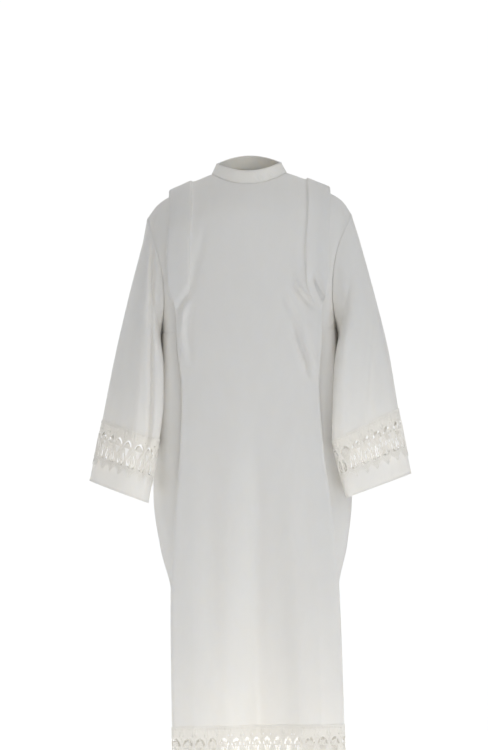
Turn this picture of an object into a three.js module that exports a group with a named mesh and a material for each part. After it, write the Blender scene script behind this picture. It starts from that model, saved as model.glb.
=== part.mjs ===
// A wide-sleeved alb with a stand collar, box pleats and lace insertions, hollow as when it is worn.
// Millimetres. +Z is up, the front faces -Y, and the wearer's left is +X.
// The origin is the centre of the neckline, where the collar stands.

import * as THREE from "three";

// A table of numbers as one object for each row.
function tableOf(names, rows) {
  return rows.map((row) => Object.fromEntries(names.map((name, column) => [name, row[column]])));
}

// ---- driving dimensions ----

const CLOTH_THICKNESS = 1.2;
const LACE_THICKNESS = 1.0;
const COLLAR_THICKNESS = 1.8;
const SEAM_GAP = 0.3;
const LACE_LIFT = 0.5;

const NECK_HALF_WIDTH = 91;
const NECK_FRONT_Y = -90;
const NECK_BACK_Y = 75;
const NECK_SIDE_Z = 2;
const NECK_FRONT_Z = -26;
const NECK_BACK_Z = 15;
const COLLAR_HEIGHT = 33;
const COLLAR_LEAN = 13;
const COLLAR_SIDE_DIP = 7;

const SHOULDER_ROUNDING = 125;
const NECK_BLEND = 150;
const ARMPIT_Z = -375;
const LACE_TOP_Z = -1324;
const HEM_Z = -1489;

// The trunk hangs a little to the wearer's right of the neck.
const TRUNK_SHIFT = -9;
const SHIFT_START_Z = -60;
const SHIFT_END_Z = -200;

const LACE_REPEATS_PER_PANEL = 34;
const LACE_REPEATS_PER_CUFF_HALF = 8;
const LACE_REPEAT = 28;
const LACE_DROP = 118;
const BAND_START = 92;
const CUFF_DROP = 160;

const ARMHOLE = {
  middleX: 229.5,
  middleY: -7,
  topZ: -102,
  tiltX: 17.5,
  halfDepth: 88,
  bow: 24,
};
const ARMHOLE_STEPS = 12;
// Across the armhole's seam, from the trunk to the sleeve.
const ARMHOLE_CROSSING = new THREE.Vector3(0.992, 0, -0.127);
// How low on the armhole its edges turn square to the seam, as the cosine of the place around it.
const SQUARE_FROM = -0.97;
const SQUARE_FULLY = -0.7;
// Places of the trunk's columns along the neckline, from the middle, in degrees.
const NECK_COLUMNS = [0, 23, 46, 68, 90];
// Their places across the flat middle of the panel, as shares of the way to the pleat.
const FLAT_COLUMNS = [0, 0.24, 0.46, 0.66, 0.84];
// Spans between columns along each shoulder seam, from the armhole to the neck.
const SHOULDER_SPANS = 11;
const COLLAR_COLUMNS = 32;

// Height of the shoulder seam by distance from the middle.
const SHOULDER_LINE = [
  { x: 91, z: 2 },
  { x: 138, z: -14 },
  { x: 195, z: -38 },
  { x: 220, z: -60 },
  { x: 247, z: -102 },
];

// Half section of the front by height. The fold is the outer edge of the box pleat,
// and the tuck is the turn hidden behind it, from which the side runs to the side seam.
const FRONT = tableOf(
  ["z", "centreY", "pleatX", "foldX", "foldY", "tuckX", "tuckY", "seamX", "seamY"],
  [
    [20, -116, 138, 195, -97, 155, -96, 212, -7],
    [-200, -132, 138, 195, -109, 155, -107, 212, -7],
    [-270, -135, 140, 193, -112, 152, -107, 212, -7],
    [-330, -138, 158, 177, -118, 144, -108, 212, -7],
    [-420, -142, 140, 173, -123, 138, -107, 216, -5],
    [-520, -146, 130, 165, -128, 134, -106, 227, 0],
    [-660, -152, 132, 172, -136, 130, -106, 238, 6],
    [-780, -157, 138, 185, -142, 126, -104, 240, 8],
    [-900, -162, 144, 195, -148, 120, -102, 226, 8],
    [-1000, -166, 148, 202, -154, 114, -100, 203, 6],
    [-1150, -172, 150, 205, -160, 106, -98, 192, 5],
    [-1490, -181, 152, 207, -170, 98, -94, 187, 5],
  ],
);

// The same for the back.
const BACK = tableOf(
  ["z", "centreY", "pleatX", "foldX", "foldY", "tuckX", "tuckY"],
  [
    [20, 101, 138, 195, 86, 155, 86],
    [-200, 117, 138, 195, 98, 155, 97],
    [-330, 122, 146, 184, 106, 148, 98],
    [-520, 128, 132, 170, 113, 138, 98],
    [-780, 142, 140, 186, 126, 128, 99],
    [-1000, 158, 148, 201, 141, 118, 100],
    [-1490, 194, 152, 205, 170, 102, 104],
  ],
);

// How far the hem swings out (+) or in (-) from the plain front and back, by place across it.
const FRONT_SWAY = [
  { x: -210, out: -3 },
  { x: -150, out: 5 },
  { x: -95, out: -4 },
  { x: -55, out: -2 },
  { x: -12, out: -36 },
  { x: 50, out: -12 },
  { x: 106, out: 26 },
  { x: 150, out: 44 },
  { x: 210, out: 27 },
];
const BACK_SWAY = [
  { x: -210, out: 6 },
  { x: -140, out: 22 },
  { x: -70, out: -16 },
  { x: 10, out: 14 },
  { x: 80, out: -20 },
  { x: 150, out: 16 },
  { x: 210, out: 2 },
];
const SWAY_START_Z = -560;
// How flat the front and back stay before they turn back towards the folds.
const PANEL_FLATNESS = 2.2;

// The pleat is stitched flat and stands proud of the front down to its release.
const PLEAT_STEP = 3;
const PLEAT_EDGE = 1.5;
const PLEAT_TOP_X = 138;
const PLEAT_RELEASE_Z = -265;
const PLEAT_GONE_Z = -345;

// Room between the layers where the cloth turns: pressed flat at the shoulder, loose and round at the hem.
const PRESSED_FOLD = 7;
const LOOSE_FOLD = 26;
const PRESSED_TUCK = 6;
const LOOSE_TUCK = 20;
const PRESSED_TO_Z = -380;
// How far the two layers of a fold draw back from its edge, as a share of its room.
const FOLD_SLANT = 0.2;
const FOLD_TOP_X = 195;
const TUCK_TOP_X = 155;
// The side behind the pleat: shares of the way to the seam, and places on the shoulder with depth under it.
const SIDE_COLUMNS = [
  { share: 0.4, topX: 195, topUnder: 12 },
  { share: 0.75, topX: 224, topUnder: 5 },
];
const SIDE_BELLY = 2;

// Rings of each sleeve from the armhole (along 0) to the top of the lace (along 1) and the cuff's edge.
const LEFT_SLEEVE = tableOf(
  ["along", "outerX", "outerZ", "innerX", "innerZ", "outerY", "innerY", "halfDepth"],
  [
    [0.15, 262, -160, 220, -398, -7, -14, 91],
    [0.4, 294, -286, 215, -450, -8, -46, 90],
    [0.7, 328, -440, 197, -540, -18, -84, 74],
    [1, 347, -573, 184, -647, -30, -104, 52],
    [2, 375, -731, 214, -785, -38, -106, 50],
  ],
);
const RIGHT_SLEEVE = tableOf(
  ["along", "outerX", "outerZ", "innerX", "innerZ", "outerY", "innerY", "halfDepth"],
  [
    [0.15, 261, -160, 233, -399, -7, -12, 92],
    [0.4, 298, -290, 236, -455, -8, -34, 92],
    [0.7, 336, -440, 234, -545, -18, -62, 84],
    [1, 368, -586, 238, -634, -30, -82, 70],
    [2, 402, -731, 263, -787, -38, -86, 68],
  ],
);
const SLEEVE_RINGS = [0, 0.05, 0.15, 0.27, 0.4, 0.55, 0.7, 0.85, 1];

// One repeat of the lace, centred on its arch: distance across, and depth below the lace's top edge.
const LACE_GAPS = [
  [
    { across: -9.5, down: 45 },
    { across: 9.5, down: 45 },
    { across: 0, down: 77 },
  ],
  [
    { across: -10, down: 56 },
    { across: -5, down: 71 },
    { across: -6.6, down: 89 },
    { across: -9.2, down: 78 },
  ],
  [
    { across: 10, down: 56 },
    { across: 5, down: 71 },
    { across: 6.6, down: 89 },
    { across: 9.2, down: 78 },
  ],
];
const SCALLOP_NOTCH = 96;

// Points used to measure a run of lace, and the sharpest turn that a wall follows fully.
const RUN_SAMPLES = 600;
const SHARPEST_TURN = 0.5;
const NO_LENGTH = 1e-6;

// ---- materials ----

const whiteCloth = new THREE.MeshStandardMaterial({ color: 0xf2f2f1, roughness: 0.8, metalness: 0 });
const creamLace = new THREE.MeshStandardMaterial({ color: 0xf3efe2, roughness: 0.75, metalness: 0 });

// ---- small mathematics ----

const mix = (a, b, share) => a + (b - a) * share;

function smooth(from, to, value) {
  const share = Math.min(Math.max((value - from) / (to - from), 0), 1);
  return share * share * (3 - 2 * share);
}

// Reads one column of a table at any place between its rows, along a smooth curve.
function read(table, key, at, column) {
  const rising = table[table.length - 1][key] > table[0][key];
  const rows = rising ? table : [...table].reverse();
  const place = Math.min(Math.max(at, rows[0][key]), rows[rows.length - 1][key]);
  let row = 0;
  while (row < rows.length - 2 && rows[row + 1][key] < place) row += 1;
  const slope = (i, j) => (rows[j][column] - rows[i][column]) / (rows[j][key] - rows[i][key]);
  const tangent = (i) => {
    if (i === 0) return slope(0, 1);
    if (i === rows.length - 1) return slope(i - 1, i);
    const before = slope(i - 1, i);
    const after = slope(i, i + 1);
    return before * after <= 0 ? 0 : (2 * before * after) / (before + after);
  };
  const width = rows[row + 1][key] - rows[row][key];
  const share = (place - rows[row][key]) / width;
  const square = share * share;
  const cube = square * share;
  return (
    rows[row][column] * (2 * cube - 3 * square + 1) +
    rows[row + 1][column] * (3 * square - 2 * cube) +
    tangent(row) * width * (cube - 2 * square + share) +
    tangent(row + 1) * width * (cube - square)
  );
}

// ---- walls ----

// The offset that moves every face beside a point of a grid by one millimetre.
function miter(grid, row, column, around) {
  const last = grid[row].length - 1;
  const here = grid[row][column];
  const wrap = (c) => (around ? (c + last + 1) % (last + 1) : Math.min(Math.max(c, 0), last));
  const above = grid[Math.max(row - 1, 0)][column];
  const below = grid[Math.min(row + 1, grid.length - 1)][column];
  const up = new THREE.Vector3().subVectors(above, below);
  const normals = [];
  for (const [from, to] of [[wrap(column - 1), column], [column, wrap(column + 1)]]) {
    if (from === to) continue;
    const across = new THREE.Vector3().subVectors(grid[row][to], grid[row][from]);
    normals.push(across.cross(up).normalize());
  }
  const middle = new THREE.Vector3();
  for (const normal of normals) middle.add(normal);
  if (middle.length() < NO_LENGTH) throw new Error(`folded flat at ${here.toArray()}`);
  middle.normalize();
  const lean = Math.max(middle.dot(normals[0]), SHARPEST_TURN);
  return middle.divideScalar(lean);
}

// Points of a grid moved out by a distance, with an optional hand on each offset.
function moved(grid, distance, around = false, adjust = null) {
  return grid.map((points, row) =>
    points.map((point, column) => {
      const offset = miter(grid, row, column, around);
      if (adjust) adjust(offset, row, column);
      return point.clone().addScaledVector(offset, distance);
    }),
  );
}

function closedMesh(name, points, triangles, material) {
  const geometry = new THREE.BufferGeometry();
  geometry.setAttribute("position", new THREE.Float32BufferAttribute(points.flatMap((p) => p.toArray()), 3));
  let volume = 0;
  for (const [a, b, c] of triangles) {
    volume += points[a].dot(new THREE.Vector3().crossVectors(points[b], points[c]));
  }
  const outward = volume > 0 ? triangles : triangles.map(([a, b, c]) => [a, c, b]);
  geometry.setIndex(outward.flat());
  geometry.computeVertexNormals();
  const mesh = new THREE.Mesh(geometry, material);
  mesh.name = name;
  return mesh;
}

// A wall between two grids of points, closed by rims. A wall that runs around has no side rims.
function wall(name, face, back, around, material) {
  const rows = face.length;
  const columns = face[0].length;
  const points = [...face.flat(), ...back.flat()];
  const triangles = [];
  const at = (side, row, column) => side * rows * columns + row * columns + (column % columns);
  const quad = (a, b, c, d) => triangles.push([a, b, c], [a, c, d]);
  const spans = around ? columns : columns - 1;
  for (let row = 0; row < rows - 1; row += 1) {
    for (let column = 0; column < spans; column += 1) {
      const next = column + 1;
      quad(at(0, row, column), at(0, row + 1, column), at(0, row + 1, next), at(0, row, next));
      quad(at(1, row, column), at(1, row, next), at(1, row + 1, next), at(1, row + 1, column));
    }
  }
  for (let column = 0; column < spans; column += 1) {
    const next = column + 1;
    const end = rows - 1;
    quad(at(0, 0, column), at(0, 0, next), at(1, 0, next), at(1, 0, column));
    quad(at(0, end, column), at(1, end, column), at(1, end, next), at(0, end, next));
  }
  for (let row = 0; row < rows - 1 && !around; row += 1) {
    const end = columns - 1;
    quad(at(0, row, 0), at(1, row, 0), at(1, row + 1, 0), at(0, row + 1, 0));
    quad(at(0, row, end), at(0, row + 1, end), at(1, row + 1, end), at(1, row, end));
  }
  return closedMesh(name, points, triangles, material);
}

// ---- trunk: front and back ----

const shoulderZ = (x) => read(SHOULDER_LINE, "x", x, "z");

// The neckline at an angle from the middle of the front or back.
function neckPoint(facing, degrees) {
  const angle = THREE.MathUtils.degToRad(degrees);
  const neckY = facing < 0 ? NECK_FRONT_Y : NECK_BACK_Y;
  const neckZ = facing < 0 ? NECK_FRONT_Z : NECK_BACK_Z;
  return new THREE.Vector3(
    NECK_HALF_WIDTH * Math.sin(angle),
    neckY * Math.cos(angle),
    mix(NECK_SIDE_Z, neckZ, Math.cos(angle) ** 2),
  );
}

// Front and back point of the armhole's edge at a height.
function armholePoint(facing, z) {
  const middleZ = (ARMHOLE.topZ + ARMPIT_Z) / 2;
  const cosine = Math.min(Math.max((z - middleZ) / (ARMHOLE.topZ - middleZ), -1), 1);
  const sine = Math.sqrt(1 - cosine * cosine);
  return {
    x: ARMHOLE.middleX + ARMHOLE.tiltX * cosine - ARMHOLE.bow * sine * sine,
    y: ARMHOLE.middleY + facing * ARMHOLE.halfDepth * sine,
  };
}

function sway(facing, x, z) {
  const table = facing < 0 ? FRONT_SWAY : BACK_SWAY;
  const share = smooth(SWAY_START_Z, HEM_Z, z);
  return facing * share * read(table, "x", x, "out");
}

// Columns from the middle of the panel to its side seam. Each has a place at the top edge
// and a place at each height. `facing` is -1 on the front and 1 on the back.
function panelColumns(facing, side) {
  const table = facing < 0 ? FRONT : BACK;
  const value = (column, z) => read(table, "z", z, column);
  const seam = (z) => {
    if (z > ARMPIT_Z - 0.01) return armholePoint(facing, z);
    return { x: read(FRONT, "z", z, "seamX"), y: read(FRONT, "z", z, "seamY") };
  };
  const step = (z) => PLEAT_STEP * (1 - smooth(PLEAT_RELEASE_Z, PLEAT_GONE_Z, z));
  const outerY = (x, z) => {
    const share = (x / value("foldX", z)) ** PANEL_FLATNESS;
    return mix(value("centreY", z), value("foldY", z), share) + sway(facing, side * x, z);
  };
  const onNeck = (column) => neckPoint(facing, NECK_COLUMNS[column]);
  const onShoulder = (x, under) => ({ x, y: 0, z: shoulderZ(x) - under });
  const flat = (share) => (z) => {
    const x = value("pleatX", z) * share;
    return { x, y: outerY(x, z) };
  };
  const loosened = (pressed, loose, z) => mix(pressed, loose, smooth(PRESSED_TO_Z, HEM_Z, z));
  const strip = (share) => (z) => {
    const x = mix(value("pleatX", z) + PLEAT_EDGE, value("foldX", z), share);
    return { x, y: outerY(x, z) + facing * step(z) };
  };
  // Three columns turn around the fold: layers 0, 0.5 and 1 of its room.
  const fold = (layers) => (z) => {
    const room = loosened(PRESSED_FOLD, LOOSE_FOLD, z);
    const x = value("foldX", z) - FOLD_SLANT * room * Math.abs(2 * layers - 1);
    return { x, y: outerY(x, z) + facing * (step(z) - room * layers) };
  };
  const tuck = (layers) => (z) => ({
    x: value("tuckX", z),
    y: value("tuckY", z) + facing * loosened(PRESSED_TUCK, LOOSE_TUCK, z) * layers,
  });
  const tuckOver = tuck(0.5);
  const tuckUnder = tuck(-0.5);
  const towardSeam = (share) => (z) => {
    const from = tuckUnder(z);
    const to = seam(z);
    return { x: mix(from.x, to.x, share) + SIDE_BELLY, y: mix(from.y, to.y, share) };
  };
  const stripStart = PLEAT_TOP_X + PLEAT_EDGE;
  const layerTop = FOLD_TOP_X - FOLD_SLANT * PRESSED_FOLD;
  const armholeTop = SHOULDER_LINE[SHOULDER_LINE.length - 1].x;
  return [
    ...FLAT_COLUMNS.map((share, column) => ({ top: onNeck(column), at: flat(share) })),
    { top: onShoulder(PLEAT_TOP_X, 0), at: flat(1) },
    { top: onShoulder(stripStart, -PLEAT_STEP), at: strip(0) },
    { top: onShoulder((PLEAT_TOP_X + FOLD_TOP_X) / 2, -PLEAT_STEP), at: strip(0.5) },
    { top: onShoulder(layerTop, -PLEAT_STEP), at: fold(0) },
    { top: onShoulder(FOLD_TOP_X, PRESSED_FOLD / 2 - PLEAT_STEP), at: fold(0.5) },
    { top: onShoulder(layerTop, PRESSED_FOLD - PLEAT_STEP), at: fold(1) },
    { top: onShoulder(TUCK_TOP_X, PRESSED_FOLD), at: tuckOver },
    { top: onShoulder(TUCK_TOP_X, PRESSED_FOLD + PRESSED_TUCK), at: tuckUnder },
    ...SIDE_COLUMNS.map(({ share, topX, topUnder }) => ({
      top: onShoulder(topX, topUnder),
      at: towardSeam(share),
    })),
    { top: onShoulder(armholeTop, 0), at: seam },
  ];
}

// Heights of the rows below the armpit.
const LOWER_ROWS = [-425, -490, -565, -650, -735, -820, -905, -995, -1100, -1215, LACE_TOP_Z];

function rowHeight(top, row) {
  if (row > ARMHOLE_STEPS) return LOWER_ROWS[row - ARMHOLE_STEPS - 1];
  return mix(top, ARMPIT_Z, (1 - Math.cos((Math.PI * row) / ARMHOLE_STEPS)) / 2);
}

// Moves a point of the plain trunk with the trunk's sideways shift.
function placed(side, x, y, z) {
  const share = smooth(SHIFT_START_Z, SHIFT_END_Z, z);
  return new THREE.Vector3(side * x + TRUNK_SHIFT * share, y, z);
}

function columnPoint(column, side, z) {
  const { top, at } = column;
  const start = at(top.z);
  const fullness = Math.min(Math.abs(top.y / start.y), 1);
  const roundTop = top.z + SHOULDER_ROUNDING * (1 - Math.sqrt(1 - fullness * fullness));
  const round = (height) => {
    const share = Math.min(Math.max((roundTop - height) / SHOULDER_ROUNDING, 0), 1);
    return Math.sqrt(1 - (1 - share) ** 2);
  };
  const fade = 1 - smooth(0, NECK_BLEND, top.z - z);
  const here = at(z);
  return placed(side, here.x + (top.x - start.x) * fade, here.y * round(z), z);
}

// The last column follows the armhole's edge exactly, so it isn't rounded at the shoulder.
function seamPoint(column, side, z) {
  const here = column.at(z);
  return placed(side, here.x, here.y, z);
}

// Half of a panel, as rows of points from the middle to the side seam.
function halfPanel(facing, side) {
  const columns = panelColumns(facing, side);
  const rows = [];
  for (let row = 0; row <= ARMHOLE_STEPS + LOWER_ROWS.length; row += 1) {
    rows.push(
      columns.map((column, index) => {
        const z = rowHeight(column.top.z, row);
        const isSeam = index === columns.length - 1;
        return isSeam ? seamPoint(column, side, z) : columnPoint(column, side, z);
      }),
    );
  }
  return rows;
}

// A whole panel's points, running around the trunk anticlockwise as seen from above.
function panelGrid(facing) {
  const first = halfPanel(facing, facing);
  const second = halfPanel(facing, -facing);
  return first.map((points, row) => [...points.slice(1).reverse(), ...second[row]]);
}

// Turns an offset at the armhole's seam so that both walls end squarely to the seam.
// Below the armpit's curve the two walls already part from each other.
function squareToArmhole(offset, side, share) {
  const strength = smooth(SQUARE_FROM, SQUARE_FULLY, share);
  const crossing = ARMHOLE_CROSSING.clone();
  crossing.x *= side;
  const length = offset.length();
  offset.addScaledVector(crossing, -strength * offset.dot(crossing));
  offset.setLength(length);
}

// Takes one direction out of an offset and keeps its length.
function levelled(offset, direction) {
  const length = offset.length();
  offset[direction] = 0;
  offset.setLength(length);
}

function trunkPanel(name, facing) {
  const face = panelGrid(facing);
  const last = face[0].length - 1;
  const seamShift = (facing * SEAM_GAP) / 2;
  const onShoulderSeam = (row, column) =>
    row === 0 && (column <= SHOULDER_SPANS || column >= last - SHOULDER_SPANS);
  const armholeShare = (row) => Math.cos((Math.PI * row) / ARMHOLE_STEPS);
  for (const [row, points] of face.entries()) {
    for (const [column, point] of points.entries()) {
      const onSideSeam = column === 0 || column === last;
      if (onSideSeam || onShoulderSeam(row, column)) point.y += seamShift;
      if (row === face.length - 1) point.z += SEAM_GAP;
    }
  }
  const squareToSeam = (offset, row, column) => {
    const onSide = column === 0 || column === last;
    const isArmhole = onSide && row > 0 && row < ARMHOLE_STEPS;
    if (isArmhole) squareToArmhole(offset, Math.sign(face[row][column].x), armholeShare(row));
    else if (onSide || onShoulderSeam(row, column)) levelled(offset, "y");
    if (row === face.length - 1) levelled(offset, "z");
  };
  const inside = moved(face, -CLOTH_THICKNESS, false, squareToSeam);
  return wall(name, face, inside, false, whiteCloth);
}

// ---- sleeves ----

// Section of a sleeve at a place along it, by angle from its outer line.
function sleevePoint(rings, armhole, along, index, count) {
  const angle = (2 * Math.PI * index) / count;
  const value = (column) => read(rings, "along", along, column);
  const cosine = Math.cos(angle);
  const sine = Math.sin(angle);
  const part = (outer, inner) => mix(inner, outer, (1 + cosine) / 2);
  const open = new THREE.Vector3(
    part(value("outerX"), value("innerX")),
    part(value("outerY"), value("innerY")) + value("halfDepth") * sine,
    part(value("outerZ"), value("innerZ")),
  );
  if (along >= rings[0].along) return open;
  return armhole(angle).lerp(open, along / rings[0].along);
}

function armholeEdge(side) {
  return (angle) => {
    const middleZ = (ARMHOLE.topZ + ARMPIT_Z) / 2;
    const z = middleZ + (ARMHOLE.topZ - middleZ) * Math.cos(angle);
    const facing = Math.sin(angle) < 0 ? -1 : 1;
    const { x, y } = armholePoint(facing, z);
    const point = placed(side, x, y, z);
    point.x *= side;
    return point;
  };
}

const mirroredPoint = (point) => new THREE.Vector3(-point.x, point.y, point.z);
const mirrored = (grid) => grid.map((points) => points.map(mirroredPoint).reverse());

function sleeve(name, side, rings) {
  const count = 2 * ARMHOLE_STEPS;
  const armhole = armholeEdge(side);
  const grid = SLEEVE_RINGS.map((along) => {
    const points = [];
    for (let index = 0; index < count; index += 1) {
      points.push(sleevePoint(rings, armhole, along, index, count));
    }
    return points;
  });
  const edgeGap = (edge, next) =>
    edge.forEach((point, index) => {
      const away = new THREE.Vector3().subVectors(next[index], point).normalize();
      point.addScaledVector(away, SEAM_GAP);
    });
  edgeGap(grid[0], grid[1]);
  edgeGap(grid[grid.length - 1], grid[grid.length - 2]);
  const face = side > 0 ? grid : mirrored(grid);
  const atArmhole = (offset, row, column) => {
    const index = side > 0 ? column : count - 1 - column;
    if (row === 0) squareToArmhole(offset, side, Math.cos((2 * Math.PI * index) / count));
  };
  return wall(name, face, moved(face, -CLOTH_THICKNESS, true, atArmhole), true, whiteCloth);
}

// ---- lace and the bands below it ----

// Stations half a repeat apart along a closed or open run, at the lace's top and at the edge of the cloth.
// `surface(share, down)` gives a point at a share of the run.
function stations(surface, count) {
  const top = [];
  const bottom = [];
  for (let index = 0; index <= count; index += 1) {
    top.push(surface(index / count, 0));
    bottom.push(surface(index / count, 1));
  }
  return [top, bottom];
}

// Places equal lengths of a run of points apart.
function evenRun(curve, samples) {
  const lengths = [0];
  let before = curve(0);
  for (let index = 1; index <= samples; index += 1) {
    const here = curve(index / samples);
    lengths.push(lengths[index - 1] + here.distanceTo(before));
    before = here;
  }
  const total = lengths[samples];
  return {
    total,
    at(share) {
      const wanted = share * total;
      let index = 1;
      while (index < samples && lengths[index] < wanted) index += 1;
      const within = (wanted - lengths[index - 1]) / (lengths[index] - lengths[index - 1]);
      return (index - 1 + within) / samples;
    },
  };
}

// A point between stations, across by station number and down by share, on an offset pair of rows.
function between(rows, station, share) {
  const left = Math.min(Math.floor(station), rows[0].length - 2);
  const across = station - left;
  const top = rows[0][left].clone().lerp(rows[0][left + 1], across);
  const bottom = rows[1][left].clone().lerp(rows[1][left + 1], across);
  return top.lerp(bottom, share);
}

// Keeps the ends of an open run square to the seam there.
function squareEnds(rows) {
  return (offset, row, column) => {
    if (column === 0 || column === rows[0].length - 1) levelled(offset, "y");
  };
}

// A strip of lace with its gaps cut through and its lower edge in points.
function laceStrip(name, rows, drop, repeats) {
  const inner = moved(rows, LACE_LIFT, false, squareEnds(rows));
  const outer = moved(rows, LACE_LIFT + LACE_THICKNESS, false, squareEnds(rows));
  const points = [];
  const known = new Map();
  const vertex = (side, station, down) => {
    const key = `${side} ${station.toFixed(4)} ${down.toFixed(4)}`;
    if (!known.has(key)) {
      known.set(key, points.length);
      points.push(between(side ? outer : inner, station, down / drop));
    }
    return known.get(key);
  };
  const triangles = [];
  const rim = (from, to) => {
    const a = vertex(1, ...from);
    const b = vertex(1, ...to);
    const c = vertex(0, ...to);
    const d = vertex(0, ...from);
    triangles.push([a, d, b], [b, d, c]);
  };
  const halfRepeat = LACE_REPEAT / 2;
  for (let repeat = 0; repeat < repeats; repeat += 1) {
    const middle = 2 * repeat + 1;
    const corner = (across, down) => new THREE.Vector2(across, -down);
    const outline = [
      corner(-halfRepeat, 0),
      corner(-halfRepeat, LACE_DROP),
      corner(0, SCALLOP_NOTCH),
      corner(halfRepeat, LACE_DROP),
      corner(halfRepeat, 0),
      corner(0, 0),
    ];
    const gaps = LACE_GAPS.map((gap) => gap.map(({ across, down }) => corner(across, down)));
    for (const gap of gaps) if (THREE.ShapeUtils.area(gap) > 0) gap.reverse();
    const place = (point) => [middle + point.x / halfRepeat, -point.y];
    const flatPoints = [outline, ...gaps].flat().map(place);
    for (const [a, b, c] of THREE.ShapeUtils.triangulateShape(outline, gaps)) {
      triangles.push([a, b, c].map((index) => vertex(1, ...flatPoints[index])));
      triangles.push([a, c, b].map((index) => vertex(0, ...flatPoints[index])));
    }
    const edges = [[5, 0], [4, 5], [1, 2], [2, 3]];
    if (repeat === 0) edges.push([0, 1]);
    if (repeat === repeats - 1) edges.push([3, 4]);
    for (const [from, to] of edges) rim(place(outline[from]), place(outline[to]));
    for (const gap of gaps) {
      gap.forEach((point, index) => rim(place(point), place(gap[(index + 1) % gap.length])));
    }
  }
  return closedMesh(name, points, triangles, creamLace);
}

// The plain band of doubled cloth below the lace.
function band(name, rows, drop, around, lastStation) {
  const row = (share) => {
    const points = [];
    for (let station = 0; station <= lastStation; station += 1) points.push(between(rows, station, share));
    return points;
  };
  const face = [row(BAND_START / drop), row(1)];
  const ends = around ? null : squareEnds(face);
  return wall(name, face, moved(face, -CLOTH_THICKNESS, around, ends), around, whiteCloth);
}

// Pulls the ends of an open run apart from the next run by half a seam gap each.
function shortened(rows) {
  for (const points of rows) {
    const last = points.length - 1;
    const inward = (from, to) => new THREE.Vector3().subVectors(points[to], points[from]).normalize();
    const start = inward(0, 1);
    const end = inward(last, last - 1);
    points[0].addScaledVector(start, SEAM_GAP / 2);
    points[last].addScaledVector(end, SEAM_GAP / 2);
  }
  return rows;
}

// The trunk's outline at a height, along a whole panel from one side seam to the other.
function trunkOutline(facing, z) {
  const half = (side) =>
    panelColumns(facing, side).map((column) => {
      const { x, y } = column.at(z);
      return placed(side, x, y, z);
    });
  const points = [...half(facing).slice(1).reverse(), ...half(-facing)];
  return new THREE.CatmullRomCurve3(points, false, "centripetal");
}

function hemRows(facing) {
  const top = trunkOutline(facing, LACE_TOP_Z);
  const bottom = trunkOutline(facing, HEM_Z);
  const run = evenRun((share) => top.getPoint(share), RUN_SAMPLES);
  const surface = (share, down) => (down ? bottom : top).getPoint(run.at(share));
  return shortened(stations(surface, 2 * LACE_REPEATS_PER_PANEL));
}

function cuffRows(side, rings) {
  const ring = (share, down) => sleevePoint(rings, null, down ? 2 : 1, share, 1);
  const run = evenRun((share) => ring(share, 0), RUN_SAMPLES);
  const surface = (share, down) => {
    const point = ring(side > 0 ? run.at(share) : 1 - run.at(share), down);
    point.x *= side;
    return point;
  };
  return stations(surface, 4 * LACE_REPEATS_PER_CUFF_HALF);
}

function cuff(word, side, rings) {
  const rows = cuffRows(side, rings);
  const halfStations = 2 * LACE_REPEATS_PER_CUFF_HALF;
  const part = (points, from) => points.slice(from, from + halfStations + 1).map((p) => p.clone());
  const half = (from) => shortened(rows.map((points) => part(points, from)));
  const [first, second] = side > 0 ? ["back", "front"] : ["front", "back"];
  return [
    laceStrip(`lace_cuff_${word}_${first}`, half(0), CUFF_DROP, LACE_REPEATS_PER_CUFF_HALF),
    laceStrip(`lace_cuff_${word}_${second}`, half(halfStations), CUFF_DROP, LACE_REPEATS_PER_CUFF_HALF),
    band(`cuff_band_${word}`, rows, CUFF_DROP, true, 2 * halfStations - 1),
  ];
}

function hem(word, facing) {
  const rows = hemRows(facing);
  const drop = LACE_TOP_Z - HEM_Z;
  return [
    laceStrip(`lace_hem_${word}`, rows, drop, LACE_REPEATS_PER_PANEL),
    band(`hem_band_${word}`, rows, drop, false, 2 * LACE_REPEATS_PER_PANEL),
  ];
}

// ---- collar ----

// Its base follows the trunk's neck edge, chord by chord, and its top is a smooth oval.
function collarPoint(turn, height) {
  const quarter = Math.floor(turn / 90);
  const facing = quarter === 0 || quarter === 3 ? -1 : 1;
  const fromMiddle = [turn, 180 - turn, turn - 180, 360 - turn][quarter];
  const side = quarter < 2 ? 1 : -1;
  let column = 0;
  while (column < NECK_COLUMNS.length - 2 && NECK_COLUMNS[column + 1] < fromMiddle) column += 1;
  const [from, to] = [NECK_COLUMNS[column], NECK_COLUMNS[column + 1]];
  const base = neckPoint(facing, from).lerp(neckPoint(facing, to), (fromMiddle - from) / (to - from));
  const top = neckPoint(facing, fromMiddle);
  const share = height / COLLAR_HEIGHT;
  const dip = COLLAR_SIDE_DIP * Math.sin(THREE.MathUtils.degToRad(fromMiddle)) ** 2;
  top.x *= 1 - COLLAR_LEAN / NECK_HALF_WIDTH;
  top.y *= 1 - COLLAR_LEAN / NECK_HALF_WIDTH;
  const point = base.lerp(top, share);
  return new THREE.Vector3(side * point.x, point.y, point.z + SEAM_GAP + height - dip * share);
}

function collar() {
  const heights = [COLLAR_HEIGHT, COLLAR_HEIGHT / 2, 0];
  const face = heights.map((height) => {
    const points = [];
    for (let index = 0; index < COLLAR_COLUMNS; index += 1) {
      points.push(collarPoint((360 * index) / COLLAR_COLUMNS, height));
    }
    return points;
  });
  const level = (offset) => levelled(offset, "z");
  return wall("collar", face, moved(face, -COLLAR_THICKNESS, true, level), true, whiteCloth);
}

// ---- the garment ----

const alb = new THREE.Group();
alb.name = "alb";
alb.add(
  trunkPanel("front_panel", -1),
  trunkPanel("back_panel", 1),
  sleeve("sleeve_left", 1, LEFT_SLEEVE),
  sleeve("sleeve_right", -1, RIGHT_SLEEVE),
  collar(),
  ...cuff("left", 1, LEFT_SLEEVE),
  ...cuff("right", -1, RIGHT_SLEEVE),
  ...hem("front", -1),
  ...hem("back", 1),
);

export default alb;
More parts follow.
